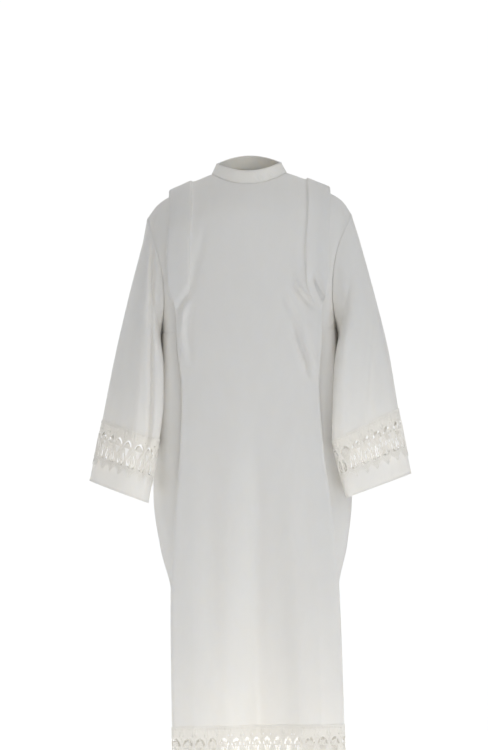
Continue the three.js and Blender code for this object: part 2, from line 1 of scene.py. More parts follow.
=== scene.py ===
from bisect import bisect_right
from functools import partial
from math import cos, exp, hypot, pi, radians, sin, sqrt

import bmesh
import bpy
from mathutils import Matrix, Vector


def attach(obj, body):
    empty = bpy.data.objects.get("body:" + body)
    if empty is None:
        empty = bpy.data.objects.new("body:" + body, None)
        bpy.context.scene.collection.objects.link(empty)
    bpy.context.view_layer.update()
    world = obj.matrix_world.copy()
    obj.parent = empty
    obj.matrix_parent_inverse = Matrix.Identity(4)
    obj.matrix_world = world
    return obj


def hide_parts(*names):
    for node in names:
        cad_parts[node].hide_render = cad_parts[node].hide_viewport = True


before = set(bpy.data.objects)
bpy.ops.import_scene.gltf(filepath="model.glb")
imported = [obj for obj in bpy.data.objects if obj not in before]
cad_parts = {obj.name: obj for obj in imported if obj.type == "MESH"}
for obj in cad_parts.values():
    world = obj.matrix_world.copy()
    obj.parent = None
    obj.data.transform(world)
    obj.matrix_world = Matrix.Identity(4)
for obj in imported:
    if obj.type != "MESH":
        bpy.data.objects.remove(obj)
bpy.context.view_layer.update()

# A wide-sleeved alb with a stand collar, box pleats and lace insertions, hanging as it is worn.
# Lengths in the tables and functions are millimetres; meshes are made in metres.

MM = 0.001

# ---- the garment's dimensions ----

# Thicknesses, and how far the lace's face stands off the surface it lies on.
CLOTH = 0.8
COLLAR_CLOTH = 1.6
LACE_CLOTH = 0.45
LACE_FACE = 1.1

NECK_HALF_WIDTH = 91
NECK_FRONT_Y = -90
NECK_BACK_Y = 75
NECK_SIDE_Z = 2
NECK_FRONT_Z = -26
NECK_BACK_Z = 15
COLLAR_HEIGHT = 33
COLLAR_LEAN = 13
COLLAR_SIDE_DIP = 7
SEAM_GAP = 0.3

SHOULDER_ROUNDING = 125
NECK_BLEND = 150
ARMPIT_Z = -375
LACE_TOP_Z = -1324
HEM_Z = -1489

TRUNK_SHIFT = -9
SHIFT_START_Z = -60
SHIFT_END_Z = -200

LACE_REPEAT = 28
BAND_START = 92
CUFF_DROP = 160
PANEL_REPEATS = 34
CUFF_HALF_REPEATS = 8
CLOTH_UNDER_LACE = 3

ARMHOLE_X = 229.5
ARMHOLE_Y = -7
ARMHOLE_TOP_Z = -102
ARMHOLE_TILT = 17.5
ARMHOLE_HALF_DEPTH = 88
ARMHOLE_BOW = 24

SHOULDER_LINE = ((91, 2), (138, -14), (195, -38), (220, -60), (247, -102))

# Half sections of the front and the back by height, in the order of their names.
FRONT_NAMES = ("centre_y", "pleat_x", "fold_x", "fold_y", "tuck_x", "tuck_y", "seam_x", "seam_y")
FRONT_ROWS = (
    (20, -116, 138, 195, -97, 155, -96, 212, -7),
    (-200, -132, 138, 195, -109, 155, -107, 212, -7),
    (-270, -135, 140, 193, -112, 152, -107, 212, -7),
    (-330, -138, 158, 177, -118, 144, -108, 212, -7),
    (-420, -142, 140, 173, -123, 138, -107, 216, -5),
    (-520, -146, 130, 165, -128, 134, -106, 227, 0),
    (-660, -152, 132, 172, -136, 130, -106, 238, 6),
    (-780, -157, 138, 185, -142, 126, -104, 240, 8),
    (-900, -162, 144, 195, -148, 120, -102, 226, 8),
    (-1000, -166, 148, 202, -154, 114, -100, 203, 6),
    (-1150, -172, 150, 205, -160, 106, -98, 192, 5),
    (-1490, -181, 152, 207, -170, 98, -94, 187, 5),
)
BACK_NAMES = FRONT_NAMES[:6]
BACK_ROWS = (
    (20, 101, 138, 195, 86, 155, 86),
    (-200, 117, 138, 195, 98, 155, 97),
    (-330, 122, 146, 184, 106, 148, 98),
    (-520, 128, 132, 170, 113, 138, 98),
    (-780, 142, 140, 186, 126, 128, 99),
    (-1000, 158, 148, 201, 141, 118, 100),
    (-1490, 194, 152, 205, 170, 102, 104),
)
# How far the lower skirt waves out at the hem, by place across.
FRONT_SWAY = (
    (-210, -3), (-150, 5), (-95, -4), (-55, -2), (-12, -36), (50, -12), (106, 26), (150, 44), (210, 27),
)
BACK_SWAY = ((-210, 6), (-140, 22), (-70, -16), (10, 14), (80, -20), (150, 16), (210, 2))
SWAY_START_Z = -560

PLEAT_STEP = 3
PLEAT_RELEASE_Z = -265
PLEAT_GONE_Z = -345
PLEAT_EDGE = 1.5
PRESSED_FOLD = 7
LOOSE_FOLD = 26
PRESSED_TUCK = 6
LOOSE_TUCK = 20
PRESSED_TO_Z = -380
PANEL_FLATNESS = 2.2
FOLD_SLANT = 0.2
SIDE_BELLY = 2

# Columns of half a panel from the middle out: angles round the neck, then places on the shoulder as a
# distance out and a depth under the shoulder's line.
NECK_COLUMNS = (0, 23, 46, 68, 90)
SHOULDER_COLUMNS = (
    (138, 0), (139.5, -PLEAT_STEP), (166.5, -PLEAT_STEP), (193.6, -PLEAT_STEP),
    (195, PRESSED_FOLD / 2 - PLEAT_STEP), (193.6, PRESSED_FOLD - PLEAT_STEP),
    (155, 7), (155, 13), (195, 12), (224, 5), (247, 0),
)
# Columns of the flat middle, as shares of the way to the pleat.
FLAT_SHARES = (0, 0.24, 0.46, 0.66, 0.84, 1)
# How boldly the sides of the trunk stand out under the sleeves, by height.
SIDE_FULLNESS = ((-1100, 1), (-800, 3), (-420, 8), (-340, 5), (-200, 3))

# Sections of each sleeve: place along it, outer x and z, inner x and z, outer y, inner y, half depth.
SLEEVE_NAMES = ("outer_x", "outer_z", "inner_x", "inner_z", "outer_y", "inner_y", "half_depth")
LEFT_SLEEVE_ROWS = (
    (0.15, 262, -160, 206, -398, -7, -14, 91),
    (0.4, 294, -286, 196, -450, -8, -80, 88),
    (0.7, 328, -440, 188, -540, -18, -104, 72),
    (1, 347, -573, 183, -647, -30, -112, 52),
    (2, 375, -731, 214, -785, -38, -106, 50),
)
RIGHT_SLEEVE_ROWS = (
    (0.15, 261, -160, 221, -399, -7, -12, 92),
    (0.4, 298, -290, 216, -455, -8, -74, 90),
    (0.7, 336, -440, 218, -545, -18, -96, 80),
    (1, 368, -586, 230, -634, -30, -104, 66),
    (2, 402, -731, 260, -787, -38, -86, 68),
)

# ---- small mathematics ----


def mix(a, b, share):
    return a + (b - a) * share


def smooth(start, end, value):
    share = min(max((value - start) / (end - start), 0), 1)
    return share * share * (3 - 2 * share)


def eased(start, end, leaving, arriving, share):
    """A place on the cubic curve with given ends and slopes at its ends."""
    square = share * share
    cube = square * share
    return (
        start * (2 * cube - 3 * square + 1)
        + end * (3 * square - 2 * cube)
        + leaving * (cube - 2 * square + share)
        + arriving * (cube - square)
    )


class Profile:
    """A smooth curve through pairs of a place and a value, level beyond its ends."""

    def __init__(self, pairs):
        pairs = sorted(pairs)
        self.places = [pair[0] for pair in pairs]
        self.values = [pair[1] for pair in pairs]
        slopes = [(b[1] - a[1]) / (b[0] - a[0]) for a, b in zip(pairs, pairs[1:])]
        self.tangents = [slopes[0]]
        for before, after in zip(slopes, slopes[1:]):
            turns = before * after <= 0
            self.tangents.append(0 if turns else 2 * before * after / (before + after))
        self.tangents.append(slopes[-1])

    def __call__(self, place):
        places = self.places
        place = min(max(place, places[0]), places[-1])
        index = min(bisect_right(places, place) - 1, len(places) - 2)
        width = places[index + 1] - places[index]
        start, end = self.values[index : index + 2]
        leaving, arriving = self.tangents[index : index + 2]
        return eased(start, end, leaving * width, arriving * width, (place - places[index]) / width)


def profiles(names, rows):
    """One curve for each column of a table whose first column is the place."""
    found = {}
    for column, name in enumerate(names):
        found[name] = Profile([(row[0], row[column + 1]) for row in rows])
    return found


def slope_at(before, here, after, run, next_run):
    return (here - before) / run - (after - before) / (run + next_run) + (after - here) / next_run


def curve_through(points, position):
    """A point on the centripetal curve through some points, at an index and a part of the way on."""
    index = min(int(position), len(points) - 2)
    share = position - index
    start = points[index]
    end = points[index + 1]
    before = points[index - 1] if index > 0 else start * 2 - end
    after = points[index + 2] if index + 2 < len(points) else end * 2 - start
    step = max(sqrt((end - start).length), 0.01)
    step_before = max(sqrt((start - before).length), 0.01)
    step_after = max(sqrt((after - end).length), 0.01)
    leaving = slope_at(before, start, end, step_before, step) * step
    arriving = slope_at(start, end, after, step, step_after) * step
    return eased(start, end, leaving, arriving, share)


# ---- creases: each is a soft ridge (+) or trough (-), as a depth, a width and a line of points ----

# Points are across and up. A crease fades in and out over a share of its length.
CREASE_FADE = 0.3
# Widths from its line to where a crease ends.
CREASE_REACH = 2.2
FRONT_CREASES = (
    (-4.5, 10, ((-104, -110), (-124, -190), (-137, -228), (-150, -290))),
    (-10, 7, ((-140, -262), (-158, -292), (-172, -312), (-186, -332))),
    (7, 8, ((-156, -290), (-168, -340), (-173, -390), (-160, -490))),
    (-6, 8, ((-140, -300), (-151, -340), (-155, -390), (-144, -480))),
    (12, 6, ((98, -246), (118, -274), (129, -290), (150, -315), (176, -342))),
    (-13, 9, ((140, -238), (152, -268), (166, -298), (176, -318))),
    (-9, 6, ((90, -258), (108, -286), (122, -306), (146, -336))),
    (6, 8, ((72, -286), (90, -322), (110, -360), (118, -382))),
    (9, 8, ((110, -350), (124, -400), (140, -460), (148, -510))),
    (-8, 7, ((92, -352), (106, -400), (124, -456), (132, -500))),
    (7, 34, ((-46, -540), (-57, -800), (-60, -1320), (-60, -1900))),
    (-8, 24, ((2, -500), (-2, -800), (-10, -1320), (-14, -1900))),
    (7, 30, ((72, -560), (84, -900), (90, -1320), (92, -1900))),
    (-5, 22, ((-110, -640), (-118, -980), (-120, -1320), (-122, -1900))),
)
BACK_CREASES = (
    (-5, 10, ((112, -140), (126, -190), (138, -235), (148, -300))),
    (10, 7, ((-102, -250), (-120, -276), (-146, -310), (-170, -342))),
    (-11, 8, ((-142, -240), (-150, -270), (-164, -300), (-172, -330))),
    (11, 7, ((108, -262), (128, -290), (150, -318), (172, -340))),
    (6, 14, ((-60, -60), (-66, -160), (-80, -260), (-104, -360))),
    (-6, 16, ((30, -80), (24, -200), (8, -330), (-10, -470))),
    (6, 14, ((70, -120), (76, -220), (92, -330), (118, -440))),
    (9, 26, ((-70, -420), (-92, -700), (-104, -1320), (-108, -1900))),
    (-10, 24, ((-20, -380), (-34, -700), (-44, -1320), (-46, -1900))),
    (10, 24, ((34, -440), (30, -760), (22, -1320), (20, -1900))),
    (-9, 22, ((86, -480), (84, -800), (76, -1320), (74, -1900))),
    (8, 20, ((128, -560), (134, -900), (130, -1320), (128, -1900))),
)


def crease_height(creases, x, z):
    """How far the creases lift the cloth at a place."""
    total = 0
    for depth, width, path in creases:
        reach = CREASE_REACH * width
        if z > path[0][1] + reach or z < path[-1][1] - reach:
            continue
        nearest = reach
        along = 0
        last = len(path) - 1
        for index in range(last):
            x0, z0 = path[index]
            run_x = path[index + 1][0] - x0
            run_z = path[index + 1][1] - z0
            share = ((x - x0) * run_x + (z - z0) * run_z) / (run_x * run_x + run_z * run_z)
            share = min(max(share, 0), 1)
            away = hypot(x - x0 - share * run_x, z - z0 - share * run_z)
            if away < nearest:
                nearest = away
                along = (index + share) / last
        if nearest < reach:
            fade = smooth(0, CREASE_FADE, along) * smooth(1, 1 - CREASE_FADE, along)
            total += depth * fade * exp(-((nearest / width) ** 2))
    return total


# ---- the trunk's form ----

FRONT = profiles(FRONT_NAMES, FRONT_ROWS)
BACK = profiles(BACK_NAMES, BACK_ROWS)
SWAY = {-1: Profile(FRONT_SWAY), 1: Profile(BACK_SWAY)}
shoulder_z = Profile(SHOULDER_LINE)
side_fullness = Profile(SIDE_FULLNESS)


def neck_point(facing, angle):
    turn = radians(angle)
    neck_y = NECK_FRONT_Y if facing < 0 else NECK_BACK_Y
    neck_z = NECK_FRONT_Z if facing < 0 else NECK_BACK_Z
    z = mix(NECK_SIDE_Z, neck_z, cos(turn) ** 2)
    return Vector((NECK_HALF_WIDTH * sin(turn), neck_y * cos(turn), z))


def armhole_edge(facing, z):
    """Distance out and depth of the armhole's edge at a height."""
    middle_z = (ARMHOLE_TOP_Z + ARMPIT_Z) / 2
    cosine = min(max((z - middle_z) / (ARMHOLE_TOP_Z - middle_z), -1), 1)
    sine = sqrt(1 - cosine * cosine)
    x = ARMHOLE_X + ARMHOLE_TILT * cosine - ARMHOLE_BOW * sine * sine
    return x, ARMHOLE_Y + facing * ARMHOLE_HALF_DEPTH * sine


def side_seam(facing, z):
    if z > ARMPIT_Z - 0.01:
        return armhole_edge(facing, z)
    return FRONT["seam_x"](z), FRONT["seam_y"](z)


def sway(facing, x, z):
    return facing * smooth(SWAY_START_Z, HEM_Z, z) * SWAY[facing](x)


def panel_columns(facing, side):
    """Columns from the middle of a panel to its side seam: the top point, and the place at a height."""
    shape = FRONT if facing < 0 else BACK

    def step(z):
        return PLEAT_STEP * (1 - smooth(PLEAT_RELEASE_Z, PLEAT_GONE_Z, z))

    def outer_y(x, z):
        share = (x / shape["fold_x"](z)) ** PANEL_FLATNESS
        return mix(shape["centre_y"](z), shape["fold_y"](z), share) + sway(facing, side * x, z)

    def loosened(pressed, loose, z):
        return mix(pressed, loose, smooth(PRESSED_TO_Z, HEM_Z, z))

    def flat(share, z):
        x = shape["pleat_x"](z) * share
        return x, outer_y(x, z)

    def strip(share, z):
        x = mix(shape["pleat_x"](z) + PLEAT_EDGE, shape["fold_x"](z), share)
        return x, outer_y(x, z) + facing * step(z)

    def fold(layers, z):
        room = loosened(PRESSED_FOLD, LOOSE_FOLD, z)
        x = shape["fold_x"](z) - FOLD_SLANT * room * abs(2 * layers - 1)
        return x, outer_y(x, z) + facing * (step(z) - room * layers)

    def tuck(layers, z):
        room = loosened(PRESSED_TUCK, LOOSE_TUCK, z)
        return shape["tuck_x"](z), shape["tuck_y"](z) + facing * room * layers

    def toward_seam(share, z):
        x, y = tuck(-0.5, z)
        seam_x, seam_y = side_seam(facing, z)
        return mix(x, seam_x, share) + SIDE_BELLY, mix(y, seam_y, share ** side_fullness(z))

    tops = [neck_point(facing, angle) for angle in NECK_COLUMNS]
    tops += [Vector((x, 0, shoulder_z(x) - under)) for x, under in SHOULDER_COLUMNS]
    places = []
    for place, values in (
        (flat, FLAT_SHARES),
        (strip, (0, 0.5)),
        (fold, (0, 0.5, 1)),
        (tuck, (0.5, -0.5)),
        (toward_seam, (0.4, 0.75)),
    ):
        places += [partial(place, value) for value in values]
    places.append(partial(side_seam, facing))
    return list(zip(tops, places))


def shifted(side, x, y, z):
    share = smooth(SHIFT_START_Z, SHIFT_END_Z, z)
    return Vector((side * x + TRUNK_SHIFT * share, y, z))


def column_point(column, side, z, on_seam):
    top, at = column
    x, y = at(z)
    if on_seam:
        return shifted(side, x, y, z)
    start_x, start_y = at(top.z)
    fullness = min(abs(top.y / start_y), 1)
    round_top = top.z + SHOULDER_ROUNDING * (1 - sqrt(1 - fullness * fullness))
    share = min(max((round_top - z) / SHOULDER_ROUNDING, 0), 1)
    roundness = sqrt(1 - (1 - share) ** 2)
    fade = 1 - smooth(0, NECK_BLEND, top.z - z)
    return shifted(side, x + (top.x - start_x) * fade, y * roundness, z)


def panel_outline(facing, z):
    """The trunk's outline at a height along a whole panel, left to right as seen from outside."""
    halves = []
    for side in (facing, -facing):
        halves.append([shifted(side, *at(z), z) for _, at in panel_columns(facing, side)])
    return halves[0][:0:-1] + halves[1]


# Fine columns between neighbouring columns of a half panel, from the middle out.
COLUMN_SPLITS = (8, 8, 8, 7, 7, 2, 7, 7, 4, 4, 9, 4, 8, 7, 8)
UPPER_ROWS = 48
LOWER_ROWS = 122


def fine_positions():
    splits = COLUMN_SPLITS[::-1] + COLUMN_SPLITS
    found = [0]
    for index, split in enumerate(splits):
        found += [index + (step + 1) / split for step in range(split)]
    return found


POSITIONS = fine_positions()
MIDDLE_POSITION = len(COLUMN_SPLITS)
FOLD_POSITION = 9


def press(facing, point, position, creases):
    """Puts the creases into a point of a panel, as far as its pleat's fold."""
    from_middle = abs(position - MIDDLE_POSITION)
    outward = 1 - smooth(FOLD_POSITION - 1, FOLD_POSITION + 1, from_middle)
    if outward > 0:
        point.y += facing * outward * crease_height(creases, point.x, point.z)
    return point


def panel_points(facing, creases):
    """Rows of points of a whole panel, from its top edge to just under the lace."""
    halves = [(side, panel_columns(facing, side)) for side in (facing, -facing)]
    levels = []
    for row in range(UPPER_ROWS + 1):
        levels.append(("share", (1 - cos(pi * row / UPPER_ROWS)) / 2))
    for row in range(1, LOWER_ROWS + 1):
        levels.append(("height", mix(ARMPIT_Z, LACE_TOP_Z - CLOTH_UNDER_LACE, row / LOWER_ROWS)))
    rows = []
    for kind, value in levels:
        controls = []
        for side, columns in halves:
            half = []
            for index, column in enumerate(columns):
                z = mix(column[0].z, ARMPIT_Z, value) if kind == "share" else value
                half.append(column_point(column, side, z, index == len(columns) - 1))
            controls.append(half)
        controls = controls[0][:0:-1] + controls[1]
        rows.append([curve_through(controls, position) for position in POSITIONS])
    for row in rows:
        for point, position in zip(row, POSITIONS):
            press(facing, point, position, creases)
    return rows


# ---- the sleeves' form ----

# Below 1, a sleeve stays full up to its inner edge.
INNER_FULLNESS = 0.66
# Creases fade in up to this sine of the angle off a sleeve's edges, and up to this place along it.
CREASE_FREE_EDGE = 0.45
CREASE_FREE_TOP = 0.08
SLEEVE_AROUND = 112
SLEEVE_ALONG = 96


def sleeve_point(form, side, along, angle):
    """A point of a sleeve by place along it and angle from its outer line."""
    cosine = cos(angle)
    sine = sin(angle)
    outer = (1 + cosine) / 2
    depth = abs(sine) ** mix(1, INNER_FULLNESS, smooth(0, 1, -cosine))
    if sine < 0:
        depth = -depth
    open_point = Vector((
        mix(form["inner_x"](along), form["outer_x"](along), outer),
        mix(form["inner_y"](along), form["outer_y"](along), outer) + form["half_depth"](along) * depth,
        mix(form["inner_z"](along), form["outer_z"](along), outer),
    ))
    start = form["outer_x"].places[0]
    if along < start:
        middle_z = (ARMHOLE_TOP_Z + ARMPIT_Z) / 2
        z = middle_z + (ARMHOLE_TOP_Z - middle_z) * cosine
        x, y = armhole_edge(-1 if sine < 0 else 1, z)
        edge = shifted(side, x, y, z)
        edge.x *= side
        open_point = edge.lerp(open_point, along / start)
    open_point.x *= side
    return open_point


LEFT_SLEEVE = profiles(SLEEVE_NAMES, LEFT_SLEEVE_ROWS)
RIGHT_SLEEVE = profiles(SLEEVE_NAMES, RIGHT_SLEEVE_ROWS)

# Creases of each sleeve's front and back, across being out from the wearer's middle.
LEFT_SLEEVE_CREASES = {
    -1: (
        (-12, 13, (
            (252, -190), (270, -240), (285, -290), (290, -350), (278, -450), (266, -600), (270, -860),
        )),
        (7, 14, ((221, -150), (222, -300), (216, -450), (212, -600), (228, -860))),
        (8, 13, ((292, -300), (312, -400), (324, -500), (336, -620), (352, -860))),
        (-4, 4, ((220, -88), (232, -86), (244, -90), (256, -96))),
        (5, 5, ((236, -112), (252, -140), (262, -176), (268, -214))),
    ),
    1: (
        (-11, 13, ((250, -180), (262, -280), (272, -400), (284, -600), (300, -860))),
        (9, 13, ((278, -200), (298, -340), (312, -480), (330, -640), (350, -860))),
        (5, 13, ((226, -240), (234, -380), (238, -520), (244, -860))),
    ),
}
RIGHT_SLEEVE_CREASES = {
    -1: (
        (-15, 5.5, (
            (226, -96), (229, -138), (239, -216), (244, -374), (248, -532), (256, -640), (270, -900),
        )),
        (7, 5, ((240, -108), (251, -145), (263, -179), (279, -231), (290, -270))),
        (-7, 4.5, ((262, -98), (250, -108), (240, -122), (226, -146))),
        (9, 16, ((262, -240), (270, -340), (276, -460), (288, -600), (306, -900))),
        (-9, 13, ((296, -300), (314, -400), (326, -500), (342, -620), (366, -900))),
    ),
    1: (
        (-11, 13, ((256, -180), (268, -300), (280, -420), (296, -600), (316, -900))),
        (9, 13, ((286, -220), (306, -360), (324, -500), (344, -640), (370, -900))),
        (5, 12, ((240, -240), (250, -380), (258, -520), (272, -900))),
    ),
}
CREASES_OF = {1: LEFT_SLEEVE_CREASES, -1: RIGHT_SLEEVE_CREASES}


def creased_sleeve_point(form, side, along, angle):
    point = sleeve_point(form, side, along, angle)
    sine = sin(angle)
    facing = -1 if sine < 0 else 1
    strength = smooth(0, CREASE_FREE_EDGE, abs(sine)) * smooth(0, CREASE_FREE_TOP, along)
    point.y += facing * strength * crease_height(CREASES_OF[side][facing], side * point.x, point.z)
    return point


def sleeve_points(form, side):
    rows = []
    for step in range(SLEEVE_ALONG + 1):
        along = step / SLEEVE_ALONG * (1 + CLOTH_UNDER_LACE / CUFF_DROP)
        row = []
        for index in range(SLEEVE_AROUND + 1):
            angle = side * 2 * pi * index / SLEEVE_AROUND
            row.append(creased_sleeve_point(form, side, along, angle))
        rows.append(row)
    return rows


# ---- the collar's form ----

COLLAR_ROWS = 12
COLLAR_AROUND = 160
# Small puckers: angle round the neck at the top edge, slant down to the foot, depth, and width as an angle.
COLLAR_PUCKERS = (
    (7, 14, -2.8, 3.2),
    (13, 14, 2.4, 3.2),
    (27, 13, -3, 3.2),
    (33, 13, 2.6, 3.2),
    (340, -6, 0.9, 7),
    (150, 8, 1.2, 8),
    (215, -8, -1.2, 7),
)
# The collar's top is free of puckers over this share of its height.
PUCKER_FREE_TOP = 0.2


def collar_pucker(turn, share):
    """How far the collar stands out at an angle round the neck and a share of its height."""
    out = 0
    for top, slant, deep, wide in COLLAR_PUCKERS:
        away = (turn - top - slant * (1 - share) + 180) % 360 - 180
        out += deep * exp(-((away / wide) ** 2))
    return out * sin(pi * min(share + PUCKER_FREE_TOP, 1))


def collar_points():
    rows = []
    for step in range(COLLAR_ROWS + 1):
        height = COLLAR_HEIGHT * (1 - step / COLLAR_ROWS)
        row = []
        for index in range(COLLAR_AROUND + 1):
            turn = 360 * index / COLLAR_AROUND
            quarter = min(int(turn // 90), 3)
            facing = -1 if quarter in (0, 3) else 1
            from_middle = (turn, 180 - turn, turn - 180, 360 - turn)[quarter]
            side = 1 if quarter < 2 else -1
            foot = neck_point(facing, from_middle)
            top = foot.copy()
            top.x *= 1 - COLLAR_LEAN / NECK_HALF_WIDTH
            top.y *= 1 - COLLAR_LEAN / NECK_HALF_WIDTH
            share = height / COLLAR_HEIGHT
            dip = COLLAR_SIDE_DIP * sin(radians(from_middle)) ** 2
            point = foot.lerp(top, share)
            reach = 1 + collar_pucker(turn, share) / NECK_HALF_WIDTH
            point.x *= reach
            point.y *= reach
            row.append(Vector((side * point.x, point.y, point.z + SEAM_GAP + height - dip * share)))
        rows.append(row)
    return rows


# ---- cloth as meshes ----


def grid_of(mesh, columns, rows):
    """A flat grid in the mesh, with its vertices as rows from the top, left to right."""
    made = bmesh.ops.create_grid(mesh, x_segments=columns - 1, y_segments=rows - 1, size=0.5)
    found = [[None] * columns for _ in range(rows)]
    for vert in made["verts"]:
        column = round((vert.co.x + 0.5) * (columns - 1))
        row = round((0.5 - vert.co.y) * (rows - 1))
        found[row][column] = vert
    return found


def spread(points):
    """Lengths of cloth across and down to each point, for its weave, in metres."""
    middle = len(points[0]) // 2
    above = points[0]
    down = [0.0] * len(above)
    found = []
    for row in points:
        across = [0.0] * len(row)
        for index in range(middle + 1, len(row)):
            across[index] = across[index - 1] + (row[index] - row[index - 1]).length
        for index in range(middle - 1, -1, -1):
            across[index] = across[index + 1] - (row[index + 1] - row[index]).length
        down = [so_far - (here - over).length * MM for so_far, here, over in zip(down, row, above)]
        above = row
        found.append([(right * MM, below) for right, below in zip(across, down)])
    return found


def set_weave(mesh, place_of):
    """Gives each vertex its place on the flat cloth, for the threads."""
    layer = mesh.loops.layers.uv.new("weave")
    for face in mesh.faces:
        for loop in face.loops:
            loop[layer].uv = place_of(loop.vert)


def linked(name, data):
    thing = bpy.data.objects.new(name, data)
    bpy.context.scene.collection.objects.link(thing)
    return thing


def object_of(name, mesh, material):
    data = bpy.data.meshes.new(name)
    mesh.to_mesh(data)
    mesh.free()
    data.materials.append(material)
    return linked(name, data)


def finished(name, mesh, material):
    """An object of the mesh, smooth-shaded, riding on the garment."""
    for face in mesh.faces:
        face.smooth = True
    piece = object_of(name, mesh, material)
    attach(piece, "root")
    return piece


def thickened(piece, thickness):
    wall = piece.modifiers.new("wall", "SOLIDIFY")
    wall.thickness = thickness * MM
    wall.offset = -1
    wall.use_rim = True
    return piece


def cloth(name, points, node, thickness=CLOTH, around=False):
    """A sheet of white cloth through rows of points, woven along them, instead of a node."""
    mesh = bmesh.new()
    verts = grid_of(mesh, len(points[0]), len(points))
    lengths = spread(points)
    weave = {}
    for row, points_row in enumerate(points):
        for column, point in enumerate(points_row):
            vert = verts[row][column]
            vert.co = point * MM
            weave[vert] = lengths[row][column]
    set_weave(mesh, weave.get)
    if around:
        bmesh.ops.remove_doubles(mesh, verts=mesh.verts, dist=0.01 * MM)
    piece = finished(name, mesh, WHITE_CLOTH)
    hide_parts(node)
    return thickened(piece, thickness)


# ---- sewing ----

STITCH_PITCH = 3.4
STITCH_LENGTH = 2.5
STITCH_WIDTH = 0.75
STITCH_HEIGHT = 0.5
# How far a stitch's middle lies above the cloth, as a share of its height.
STITCH_LIFT = 0.3


def on_grid(points, row, column):
    """A place on rows of points, and the way out of the cloth there."""
    last_row = len(points) - 1
    last_column = len(points[0]) - 1

    def at(down, right):
        down = min(max(down, 0), last_row)
        right = min(max(right, 0), last_column)
        top = min(int(down), last_row - 1)
        left = min(int(right), last_column - 1)
        upper = points[top][left].lerp(points[top][left + 1], right - left)
        lower = points[top + 1][left].lerp(points[top + 1][left + 1], right - left)
        return upper.lerp(lower, down - top)

    across = at(row, column + 0.5) - at(row, column - 0.5)
    up = at(row - 0.5, column) - at(row + 0.5, column)
    return at(row, column), across.cross(up).normalized()


def sewn(name, lines):
    """Stitches along lines of places and ways out, a stitch and a gap at a time."""
    mesh = bmesh.new()
    for line in lines:
        gone = 0
        wanted = STITCH_PITCH / 2
        for (here, out), (there, _) in zip(line, line[1:]):
            step = (there - here).length
            while wanted < gone + step:
                run = (there - here).normalized()
                width = out.cross(run).normalized()
                sides = (run * STITCH_LENGTH, width * STITCH_WIDTH, out * STITCH_HEIGHT)
                stitch = Matrix([side * MM for side in sides]).transposed().to_4x4()
                place = here.lerp(there, (wanted - gone) / step) + out * STITCH_HEIGHT * STITCH_LIFT
                stitch.translation = place * MM
                bmesh.ops.create_cube(mesh, size=1, matrix=stitch)
                wanted += STITCH_PITCH
            gone += step
    set_weave(mesh, lambda vert: (vert.co.x, vert.co.z))
    return finished(name, mesh, SEWING)


# ---- hanging edges: the run on which lace and bands lie ----


EDGE_SAMPLES = 1400
# Lengths over which the surface's slope is taken, across and down.
SLOPE_ACROSS = 3
SLOPE_DOWN = 2


class Edge:
    """The surface from the lace's top to the cloth's lower edge, in even lengths along its top."""

    def __init__(self, top, bottom, drop, around):
        raw = [top(index / EDGE_SAMPLES) for index in range(EDGE_SAMPLES + 1)]
        lengths = [0.0]
        for before, here in zip(raw, raw[1:]):
            lengths.append(lengths[-1] + (here - before).length)
        self.total = lengths[-1]
        self.drop = drop
        self.around = around
        self.top = []
        self.bottom = []
        index = 1
        for step in range(EDGE_SAMPLES + 1):
            wanted = self.total * step / EDGE_SAMPLES
            while index < EDGE_SAMPLES and lengths[index] < wanted:
                index += 1
            part = (wanted - lengths[index - 1]) / (lengths[index] - lengths[index - 1])
            share = (index - 1 + part) / EDGE_SAMPLES
            self.top.append(top(share))
            self.bottom.append(bottom(share))

    def at(self, share, down):
        place = share * EDGE_SAMPLES
        place = place % EDGE_SAMPLES if self.around else min(max(place, 0), EDGE_SAMPLES)
        index = min(int(place), EDGE_SAMPLES - 1)
        part = place - index
        top = self.top[index].lerp(self.top[index + 1], part)
        bottom = self.bottom[index].lerp(self.bottom[index + 1], part)
        return top.lerp(bottom, down / self.drop)

    def place(self, share, down, height):
        """A point at a share of the run and a length below its top, lifted off the surface."""
        here = self.at(share, down)
        near = SLOPE_ACROSS / self.total
        across = self.at(share + near, down) - self.at(share - near, down)
        up = self.at(share, down - SLOPE_DOWN) - self.at(share, down + SLOPE_DOWN)
        return here + across.cross(up).normalized() * height


def hem_edge(facing, creases):
    def outline(z):
        points = panel_outline(facing, z)
        last = len(points) - 1
        return lambda share: press(facing, curve_through(points, share * last), share * last, creases)

    return Edge(outline(LACE_TOP_Z), outline(HEM_Z), LACE_TOP_Z - HEM_Z, False)


def cuff_edge(form, side):
    def ring(along):
        return lambda share: creased_sleeve_point(form, side, along, side * 2 * pi * share)

    return Edge(ring(1), ring(2), CUFF_DROP, True)


EDGES = {
    "hem_front": hem_edge(-1, FRONT_CREASES),
    "hem_back": hem_edge(1, BACK_CREASES),
    "cuff_left": cuff_edge(LEFT_SLEEVE, 1),
    "cuff_right": cuff_edge(RIGHT_SLEEVE, -1),
}

# ---- the lace ----

# One repeat, centred on its arch: x across and y upwards from the lace's top edge.
HALF_REPEAT = LACE_REPEAT / 2
TEAR_POINT = 1.5


def teardrop(axis, top, bottom, half_width, side, start=0.0, end=1.0, count=12):
    """Half of a teardrop's outline, from its point down to its round end."""
    peak = max(sin(pi * s / 100) * sin(pi * s / 200) ** TEAR_POINT for s in range(101))
    found = []
    for index in range(count + 1):
        turn = pi * mix(start, end, index / count)
        out = half_width * sin(turn) * sin(turn / 2) ** TEAR_POINT / peak
        found.append((axis + side * out, -mix(top, bottom, (1 - cos(turn)) / 2)))
    return found


